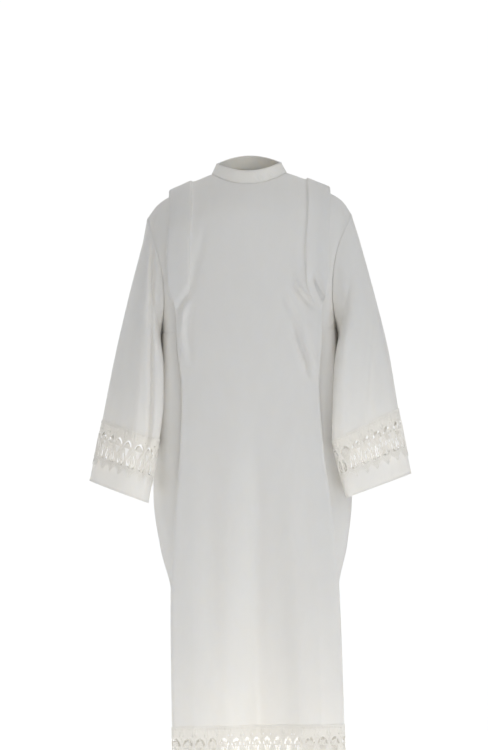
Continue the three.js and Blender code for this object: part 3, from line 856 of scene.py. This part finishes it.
def lancet(half_width, peak, foot, count=7):
    """A pointed arch from its left foot over its peak to its right foot."""
    right = []
    for index in range(count + 1):
        share = index / count
        x = half_width * sin(share * pi / 2) ** 0.9
        right.append((x, -mix(peak, foot, share ** 1.25)))
    left = [(-x, y) for x, y in right[:0:-1]]
    return left + right


def ring_of(x, y, radius, count=8):
    found = []
    for index in range(count):
        turn = 2 * pi * index / count
        found.append((x + radius * cos(turn), y + radius * sin(turn)))
    return found


# The scalloped lower edge from its notch in the middle to its point at the side: three lobes.
SCALLOP = (
    (0, -96), (0.8, -99.5), (3.2, -101.6), (5.6, -101.8), (5.9, -105.2),
    (7.8, -107.8), (10.2, -108.4), (10.4, -112.2), (12, -115.6), (14, -118),
)
EYELETS = ((-10.1, -20.5), (10.1, -20.5), (0, -85), (0, -91.5))
BEADING = (-11.2, -5.6, 0, 5.6, 11.2)


def lace_gaps():
    """The openings of one repeat as closed outlines."""
    outer = lancet(11.4, 26.3, 44)
    inner = lancet(7.0, 33, 44.5)
    gaps = [outer + inner[::-1]]
    for side in (-1, 1):
        gaps.append([(side * 1.7, -38), (side * 3.0, -40), (side * 3.3, -44.6), (side * 2.2, -44.6)])
        axis = side * HALF_REPEAT
        out = teardrop(axis, 46, 95, 10.3, -side, 0.34, 0.9, 9)
        back = teardrop(axis, 55, 89.5, 6.7, -side, 0.3, 0.94, 9)
        gaps.append(out + back[::-1])
        slot_out = teardrop(axis, 56, 87.5, 5.0, -side, 0.3, 0.9, 8)
        slot_back = teardrop(axis, 60, 84.5, 2.2, -side, 0.3, 0.94, 8)
        gaps.append(slot_out + slot_back[::-1])
    gaps.append([
        (-9.2, -46.5), (-4.6, -47.6), (0, -46.5), (4.6, -47.6), (9.2, -46.5),
        (4.4, -60), (0, -77), (-4.4, -60),
    ])
    for x, y in EYELETS:
        gaps.append(ring_of(x, y, 1.6 if y > -50 else 1.3))
    for x in BEADING:
        gaps.append(ring_of(x, -4.6, 0.9, 6))
    return gaps


def lace_outline():
    """The edge of one repeat, with half an eyelet let into each side."""
    half_eyelet = [(HALF_REPEAT, -25.6), (HALF_REPEAT - 1.5, -27.2), (HALF_REPEAT, -28.8)]
    right = [(HALF_REPEAT, 0)] + half_eyelet + [(HALF_REPEAT, y) for y in (-50, -75, -100)]
    right += SCALLOP[::-1]
    left = [(-x, y) for x, y in right[-2::-1]]
    return right + left


def outlined(mesh, points):
    verts = [mesh.verts.new((x, y, 0)) for x, y in points]
    return [mesh.edges.new((a, b)) for a, b in zip(verts, verts[1:] + verts[:1])]


# The ground is cut across here, so that it bends with the cloth.
GROUND_CUTS = (-10.5, -7, -3.5, 0, 3.5, 7, 10.5)


def lace_ground():
    """The woven ground of one repeat, with its openings."""
    mesh = bmesh.new()
    edges = outlined(mesh, lace_outline())
    for gap in lace_gaps():
        edges += outlined(mesh, gap)
    bmesh.ops.triangle_fill(mesh, use_beauty=True, use_dissolve=False, edges=edges, normal=(0, 0, 1))
    for place in GROUND_CUTS:
        every = mesh.verts[:] + mesh.edges[:] + mesh.faces[:]
        bmesh.ops.bisect_plane(mesh, geom=every, dist=1e-4, plane_co=(place, 0, 0), plane_no=(1, 0, 0))
    for face in mesh.faces:
        if face.normal.z < 0:
            face.normal_flip()
    return mesh


# Places across a cord, as shares of its width: the inner two are raised.
CORD_LANES = (-0.5, -0.22, 0.22, 0.5)
CORD_SINK = 0.05


def lay_cord(mesh, path, width, rise):
    """A raised cord along points of the lace."""
    rows = grid_of(mesh, len(path), len(CORD_LANES))
    last = len(path) - 1
    for index, (x, y) in enumerate(path):
        before = path[max(index - 1, 0)]
        after = path[min(index + 1, last)]
        if path[0] == path[last] and index in (0, last):
            before = path[last - 1]
            after = path[1]
        run = Vector((after[0] - before[0], after[1] - before[1])).normalized()
        for lane, across in enumerate(CORD_LANES):
            vert = rows[lane][index]
            shift = -across * width
            lifted = rise if abs(across) < 0.4 else 0
            vert.co = (x - run.y * shift, y + run.x * shift, lifted)


def closed(path):
    return path + path[:1]


def lace_cords():
    """The corded relief of one repeat: beading, arches, petals, teardrops, net and scallops."""
    mesh = bmesh.new()
    for y, width, rise in ((-0.8, 1.6, 0.7), (-8.2, 1.0, 0.4)):
        lay_cord(mesh, [(x, y) for x in (-14, -7, 0, 7, 14)], width, rise)
    for x in BEADING:
        lay_cord(mesh, [(x - 2.8, -1.8), (x, -7.2), (x + 2.8, -1.8)], 0.8, 0.45)
    lay_cord(mesh, lancet(12.7, 24.4, 45.5), 1.6, 0.9)
    lay_cord(mesh, lancet(6.0, 34.2, 45.5), 1.2, 0.8)
    for side in (-1, 1):
        axis = side * HALF_REPEAT
        lay_cord(mesh, teardrop(axis, 44, 96.2, 11.5, -side, 0.05, 1), 1.7, 1)
        lay_cord(mesh, teardrop(axis, 53.5, 90.6, 5.9, -side, 0.05, 1, 10), 1.3, 0.85)
        lay_cord(mesh, teardrop(axis, 61, 84.5, 2.0, -side, 0.1, 1, 8), 1.2, 0.6)
        lay_cord(mesh, [(side * 10.4, -46), (side * 5.0, -62), (0, -78.5)], 1.2, 0.6)
        lay_cord(mesh, [(side * x, y + 0.7) for x, y in SCALLOP], 1.7, 0.8)
        lay_cord(mesh, [(side * x, y + 5.4) for x, y in SCALLOP[::3]], 1.2, 0.6)
        petal = [(side * 4.6, -36.5), (side * 6.4, -41), (side * 4.9, -45.6), (side * 3.6, -41)]
        lay_cord(mesh, closed(petal), 1.0, 0.7)
    bud = teardrop(0, 34.5, 45.5, 1.5, 1, 0, 1, 5) + teardrop(0, 34.5, 45.5, 1.5, -1, 0, 1, 5)[::-1]
    lay_cord(mesh, bud, 1.0, 0.7)
    for x, y in EYELETS:
        lay_cord(mesh, closed(ring_of(x, y, 2.1)), 0.8, 0.45)
    net_top = -46.8
    net_point = -77.5
    net_half = 9.2
    for lean in (-1, 1):
        for index in range(-3, 5):
            start_x = index * 2.6 - lean * 5
            path = []
            for step in range(5):
                y = mix(net_top, net_point, step / 4)
                x = start_x + lean * (net_top - y) * 0.42
                if abs(x) < net_half * (y - net_point) / (net_top - net_point) + 0.8:
                    path.append((x, y))
            if len(path) > 1:
                lay_cord(mesh, path, 0.55, 0.2)
    return mesh


def repeated(cell, count):
    """A strip of the repeat, side by side, starting at x = 0."""
    data = bpy.data.meshes.new("repeat")
    cell.to_mesh(data)
    cell.free()
    strip = bmesh.new()
    for index in range(count):
        known = len(strip.verts)
        strip.from_mesh(data)
        strip.verts.ensure_lookup_table()
        fresh = strip.verts[known:]
        bmesh.ops.translate(strip, verts=fresh, vec=((index + 0.5) * LACE_REPEAT, 0, 0))
    bpy.data.meshes.remove(data)
    bmesh.ops.remove_doubles(strip, verts=strip.verts, dist=0.002)
    return strip


def laid(strip, edge, first, last, height):
    """Moves a flat strip onto a part of an edge's run, and gives it lengths for its threads."""
    set_weave(strip, lambda vert: (vert.co.x * MM, vert.co.y * MM))
    length = max(vert.co.x for vert in strip.verts)
    for vert in strip.verts:
        share = mix(first, last, vert.co.x / length)
        vert.co = edge.place(share, -vert.co.y, height + vert.co.z) * MM
    return strip


def lace(name, edge, first, last, repeats):
    ground = laid(repeated(lace_ground(), repeats), edge, first, last, LACE_FACE)
    piece = finished("ground_" + name, ground, CREAM_LACE)
    thickened(piece, LACE_CLOTH)
    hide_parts("lace_" + name)
    cords = laid(repeated(lace_cords(), repeats), edge, first, last, LACE_FACE - CORD_SINK)
    relief = finished("cords_" + name, cords, LACE_CORD)


# ---- materials ----


def set_inputs(node, values):
    for name, value in values.items():
        node.inputs[name].default_value = value


def principled(name, colour, roughness):
    material = bpy.data.materials.new(name)
    material.use_nodes = True
    shader = material.node_tree.nodes["Principled BSDF"]
    set_inputs(shader, {"Base Color": (*colour, 1), "Roughness": roughness})
    return material, shader


# Heights in metres, for the bump.
THREAD_HEIGHT = 0.00005
SLUB_HEIGHT = 0.00006


def woven_group():
    """Threads over and under each other, slubs and soft creases, as colour, height and roughness. The
    colour is deeper in crease troughs and on low threads, as painted shade, besides a random drift of tone.
    """
    group = bpy.data.node_groups.new("woven threads", "ShaderNodeTree")
    face = group.interface
    for name, kind, way in (
        ("Pale and lit", "NodeSocketColor", "INPUT"),
        ("Deep and shaded", "NodeSocketColor", "INPUT"),
        ("Threads", "NodeSocketFloat", "INPUT"),
        ("Crush", "NodeSocketFloat", "INPUT"),
        ("Colour", "NodeSocketColor", "OUTPUT"),
        ("Height", "NodeSocketFloat", "OUTPUT"),
        ("Roughness", "NodeSocketFloat", "OUTPUT"),
    ):
        face.new_socket(name, in_out=way, socket_type=kind)
    nodes = group.nodes
    links = group.links
    given = nodes.new("NodeGroupInput")
    made = nodes.new("NodeGroupOutput")

    def worked(operation, first, second=None):
        node = nodes.new("ShaderNodeMath")
        node.operation = operation
        for socket, value in zip(node.inputs, (first, second)):
            if isinstance(value, (int, float)):
                socket.default_value = value
            elif value is not None:
                links.new(value, socket)
        return node.outputs[0]

    times = partial(worked, "MULTIPLY")
    plus = partial(worked, "ADD")

    def noise(stretch, scale, detail):
        node = nodes.new("ShaderNodeMapping")
        node.inputs["Scale"].default_value = (*stretch, 1)
        links.new(lengths.outputs["UV"], node.inputs["Vector"])
        cloud = nodes.new("ShaderNodeTexNoise")
        set_inputs(cloud, {"Scale": scale, "Detail": detail})
        links.new(node.outputs["Vector"], cloud.inputs["Vector"])
        return cloud.outputs["Fac"]

    lengths = nodes.new("ShaderNodeUVMap")
    lengths.uv_map = "weave"
    split = nodes.new("ShaderNodeSeparateXYZ")
    links.new(lengths.outputs["UV"], split.inputs["Vector"])
    turns = times(given.outputs["Threads"], pi)
    warp = worked("SINE", times(split.outputs["X"], turns))
    weft = worked("SINE", times(split.outputs["Y"], turns))
    over = times(warp, weft)
    slub = noise((1, 0.12), 900, 1)
    crush = noise((1, 0.45), 26, 3)
    drift = noise((1, 0.6), 5, 1)

    thread_height = times(over, THREAD_HEIGHT)
    slub_height = times(slub, SLUB_HEIGHT)
    crush_height = times(crush, given.outputs["Crush"])
    height = plus(plus(thread_height, slub_height), crush_height)
    links.new(height, made.inputs["Height"])

    # Painted shade: the colour deepens where the crush noise sinks into crease troughs and where threads
    # dip under, on top of the random drift of tone.
    tone_and_painted_shade = plus(times(crush, 0.5), times(drift, 0.5))
    tone_and_painted_shade = plus(tone_and_painted_shade, times(over, 0.1))
    tint_with_painted_shade = nodes.new("ShaderNodeMix")
    tint_with_painted_shade.data_type = "RGBA"
    links.new(tone_and_painted_shade, tint_with_painted_shade.inputs["Factor"])
    links.new(given.outputs["Deep and shaded"], tint_with_painted_shade.inputs[6])
    links.new(given.outputs["Pale and lit"], tint_with_painted_shade.inputs[7])
    links.new(tint_with_painted_shade.outputs[2], made.inputs["Colour"])

    grain = plus(times(slub, 0.14), 0.66)
    links.new(grain, made.inputs["Roughness"])
    return group


WOVEN = woven_group()


def woven(name, pale, deep, threads, crush, see_through):
    """A woven material: threads to the metre, height of its crush marks, and how far light goes in."""
    material, shader = principled(name, pale, 0.75)
    nodes = material.node_tree.nodes
    links = material.node_tree.links
    set_inputs(shader, {
        "Specular IOR Level": 0.3,
        "Sheen Weight": 0.12,
        "Sheen Roughness": 0.5,
        "Subsurface Weight": see_through,
        "Subsurface Radius": (1, 0.93, 0.82),
        "Subsurface Scale": 0.003,
    })
    group = nodes.new("ShaderNodeGroup")
    group.node_tree = WOVEN
    # The pale colour goes on crease ridges and thread tops and the deep one in crease troughs and between
    # threads, as painted shade, besides a random tone.
    set_inputs(group, {"Pale and lit": (*pale, 1), "Deep and shaded": (*deep, 1), "Threads": threads, "Crush": crush})
    bump = nodes.new("ShaderNodeBump")
    bump.inputs["Distance"].default_value = 1
    links.new(group.outputs["Colour"], shader.inputs["Base Color"])
    links.new(group.outputs["Roughness"], shader.inputs["Roughness"])
    links.new(group.outputs["Height"], bump.inputs["Height"])
    links.new(bump.outputs["Normal"], shader.inputs["Normal"])
    return material


WHITE_CLOTH = woven("white cloth", (0.955, 0.935, 0.895), (0.905, 0.88, 0.83), 1400, 0.0016, 0.8)
CREAM_LACE = woven("cream lace", (0.95, 0.93, 0.88), (0.89, 0.865, 0.8), 1100, 0.0004, 0.22)
LACE_CORD = woven("lace cord", (0.985, 0.97, 0.935), (0.945, 0.925, 0.88), 1600, 0.0002, 0.15)
SEWING = woven("sewing thread", (0.93, 0.92, 0.9), (0.86, 0.845, 0.82), 3000, 0.0001, 0)

# ---- the pieces ----

front_points = panel_points(-1, FRONT_CREASES)
back_points = panel_points(1, BACK_CREASES)
left_points = sleeve_points(LEFT_SLEEVE, 1)
right_points = sleeve_points(RIGHT_SLEEVE, -1)
front = cloth("cloth_front", front_points, "front_panel")
back = cloth("cloth_back", back_points, "back_panel")
left_sleeve = cloth("cloth_sleeve_left", left_points, "sleeve_left", around=True)
right_sleeve = cloth("cloth_sleeve_right", right_points, "sleeve_right", around=True)
collar_rows = collar_points()
collar = cloth("cloth_collar", collar_rows, "collar", COLLAR_CLOTH, True)


BAND_ROWS = 8


def band_points(edge, samples):
    rows = []
    for step in range(BAND_ROWS + 1):
        down = mix(BAND_START, edge.drop, step / BAND_ROWS)
        rows.append([edge.at(index / samples, down) for index in range(samples + 1)])
    return rows


for name, samples, node in (
    ("hem_front", 320, "hem_band_front"),
    ("hem_back", 320, "hem_band_back"),
    ("cuff_left", 160, "cuff_band_left"),
    ("cuff_right", 160, "cuff_band_right"),
):
    edge = EDGES[name]
    piece = cloth("cloth_" + name, band_points(edge, samples), node, CLOTH, edge.around)

for name, edge_name, first, last, repeats, carrier in (
    ("hem_front", "hem_front", 0, 1, PANEL_REPEATS, "cloth_front"),
    ("hem_back", "hem_back", 0, 1, PANEL_REPEATS, "cloth_back"),
    ("cuff_left_back", "cuff_left", 0, 0.5, CUFF_HALF_REPEATS, "cloth_sleeve_left"),
    ("cuff_left_front", "cuff_left", 0.5, 1, CUFF_HALF_REPEATS, "cloth_sleeve_left"),
    ("cuff_right_front", "cuff_right", 0, 0.5, CUFF_HALF_REPEATS, "cloth_sleeve_right"),
    ("cuff_right_back", "cuff_right", 0.5, 1, CUFF_HALF_REPEATS, "cloth_sleeve_right"),
):
    lace(name, EDGES[edge_name], first, last, repeats)

# ---- the pieces' stitching ----

# Rows of the cloth below an edge, and a length above the hem, at which the stitching runs.
SEAM_ROW = 0.9
HEM_SEAM_UP = 3
HEM_SEAM_STEPS = 500
# Places of the pleats' stitching, in columns from the panel's middle.
PLEAT_SEAMS = (6.1, 7.9, -6.1, -7.9)


def column_at(position):
    """The fine column at a place counted in columns of the whole panel."""
    return bisect_right(POSITIONS, position - 1e-6)


MIDDLE_COLUMN = column_at(MIDDLE_POSITION)


def pleat_seams(points):
    """Stitching down both edges of each pleat's strip, to where it is let out."""
    rows = [index for index, row in enumerate(points) if row[MIDDLE_COLUMN].z > PLEAT_RELEASE_Z]
    lines = []
    for position in PLEAT_SEAMS:
        column = column_at(MIDDLE_POSITION + position)
        lines.append([on_grid(points, row, column) for row in rows])
    return lines


def seam_round(points, row):
    return [on_grid(points, row, column) for column in range(len(points[0]))]


def hem_seam(edge):
    """Stitching above the lower edge of a band."""
    line = []
    for index in range(HEM_SEAM_STEPS + 1):
        share = index / HEM_SEAM_STEPS
        here = edge.at(share, edge.drop - HEM_SEAM_UP)
        out = edge.place(share, edge.drop - HEM_SEAM_UP, 1) - here
        line.append((here, out))
    return line


sewn("stitches_front", pleat_seams(front_points) + [hem_seam(EDGES["hem_front"])])
sewn("stitches_back", pleat_seams(back_points) + [hem_seam(EDGES["hem_back"])])
sewn("stitches_sleeve_left", [seam_round(left_points, SEAM_ROW), hem_seam(EDGES["cuff_left"])])
sewn("stitches_sleeve_right", [seam_round(right_points, SEAM_ROW), hem_seam(EDGES["cuff_right"])])
sewn("stitches_collar", [seam_round(collar_rows, row) for row in (SEAM_ROW, COLLAR_ROWS - SEAM_ROW)])

# ---- the studio ----

# Metres here, as the lights and the camera aren't scaled.
FLOOR_Z = -1.56
FLOOR_RADIUS = 3.2
LOWEST_TARGET_Z = -0.6
WARM = (1, 0.982, 0.95)
INSIDE_WARM = (1, 0.985, 0.965)

# Name, place, size, power and colour. Each stands before the garment and, turned half round, behind it.
ROOM_LIGHTS = (
    ("key", (3.0, -1.4, 1.1), (1.0, 1.4), 12, (0.89, 0.945, 1)),
    ("right", (1.8, -3.0, -0.2), (0.8, 1.4), 10, (0.98, 0.98, 0.97)),
    ("left", (-1.7, -3.0, -0.2), (0.8, 1.4), 3.6, (1, 0.98, 0.94)),
    ("straight", (0.2, -3.4, -0.5), (0.6, 1.0), 10.5, WARM),
    ("lift", (0.6, -2.6, -1.2), (2.0, 0.7), 0.4, WARM),
)
# Name, place, target, size and power of the lights inside, which make the lace glow.
INSIDE_LIGHTS = (
    ("skirt", (0, 0, -1.545), (0, 0, 0), (0.3, 0.24), 0.62),
    ("sleeve left", (0.286, -0.07, -0.714), (0.27, -0.05, -0.4), (0.08, 0.04), 0.035),
    ("sleeve right", (-0.322, -0.06, -0.72), (-0.29, -0.05, -0.4), (0.08, 0.04), 0.035),
)

CAMERA_PLACE = (-0.0235, -14, -0.4847)
CAMERA_LENS = 277.7
CAMERA_ROLL = -1.3

floor_mesh = bmesh.new()
bmesh.ops.create_circle(floor_mesh, cap_ends=True, radius=FLOOR_RADIUS, segments=96)
bmesh.ops.translate(floor_mesh, verts=floor_mesh.verts, vec=(0, 0, FLOOR_Z))
pale_floor, floor_shader = principled("pale floor", (0.9, 0.9, 0.9), 0.9)
set_inputs(floor_shader, {"Emission Color": (0.985, 0.99, 1, 1), "Emission Strength": 0.34})
floor = object_of("floor", floor_mesh, pale_floor)


def soft_light(name, place, target, size, power, colour):
    data = bpy.data.lights.new(name, "AREA")
    data.shape = "RECTANGLE"
    data.size, data.size_y = size
    data.energy = power
    data.color = colour
    light = linked(name, data)
    light.location = place
    light.rotation_euler = (Vector(target) - Vector(place)).to_track_quat("-Z", "Y").to_euler()
    light.visible_camera = False


for name, (x, y, z), size, power, colour in ROOM_LIGHTS:
    target = (0, 0, min(z, LOWEST_TARGET_Z))
    for side, way in (("front", 1), ("back", -1)):
        soft_light(f"{name} {side}", (way * x, way * y, z), target, size, power, colour)

for name, place, target, size, power in INSIDE_LIGHTS:
    soft_light(name, place, target, size, power, INSIDE_WARM)

world = bpy.data.worlds.new("studio")
world.use_nodes = True
nodes = world.node_tree.nodes
links = world.node_tree.links
room = nodes["Background"]
set_inputs(room, {"Color": (*INSIDE_WARM, 1)})
direction = nodes.new("ShaderNodeTexCoord")
height = nodes.new("ShaderNodeSeparateXYZ")
glow = nodes.new("ShaderNodeMapRange")
set_inputs(glow, {"From Min": 0, "From Max": 0.9, "To Min": 0.2, "To Max": 0.72})
links.new(direction.outputs["Generated"], height.inputs["Vector"])
links.new(height.outputs["Z"], glow.inputs["Value"])
links.new(glow.outputs["Result"], room.inputs["Strength"])
backdrop = nodes.new("ShaderNodeBackground")
set_inputs(backdrop, {"Color": (1, 1, 1, 1), "Strength": 1.02})
seen = nodes.new("ShaderNodeLightPath")
either = nodes.new("ShaderNodeMixShader")
links.new(seen.outputs["Is Camera Ray"], either.inputs["Fac"])
links.new(room.outputs["Background"], either.inputs[1])
links.new(backdrop.outputs["Background"], either.inputs[2])
links.new(either.outputs["Shader"], nodes["World Output"].inputs["Surface"])
bpy.context.scene.world = world
bpy.context.scene.view_settings.view_transform = "Standard"

camera_data = bpy.data.cameras.new("camera")
camera_data.sensor_fit = "VERTICAL"
camera_data.sensor_height = 36
camera_data.lens = CAMERA_LENS
camera = linked("camera", camera_data)
camera.location = CAMERA_PLACE
turned = Matrix.Rotation(radians(90), 4, "X") @ Matrix.Rotation(radians(CAMERA_ROLL), 4, "Z")
camera.rotation_euler = turned.to_euler()
bpy.context.scene.camera = camera
